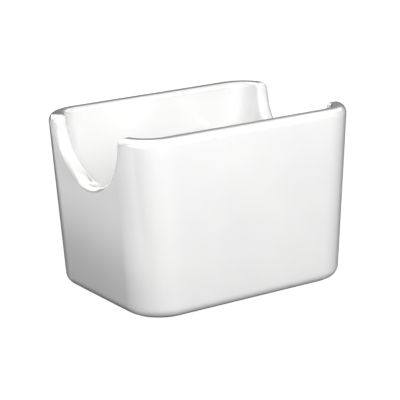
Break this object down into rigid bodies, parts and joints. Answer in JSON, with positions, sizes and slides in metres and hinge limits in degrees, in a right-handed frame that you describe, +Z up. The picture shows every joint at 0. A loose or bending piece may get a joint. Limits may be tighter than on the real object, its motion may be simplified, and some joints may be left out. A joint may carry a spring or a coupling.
{
  "type": "sugar packet holder",
  "caption": "Glazed white china holder for sugar packets: a tapered trough with rounded corners, a rounded rim and a half-round finger scoop in each end wall.",
  "frame": {"origin": "middle of the foot ring, on the table that the holder stands on", "axes": "+X along the holder from scoop to scoop, +Y to its back, +Z up"},
  "size_m": [0.094, 0.0704, 0.0636],
  "materials": {
    "glaze": "clear glossy glaze over white china",
    "bisque": "fired clay, bare and matt"
  },
  "bodies": {
    "root": {"china_body": "bisque", "glaze_coat": "glaze", "base_glaze": "glaze"}
  },
  "joints": []
}
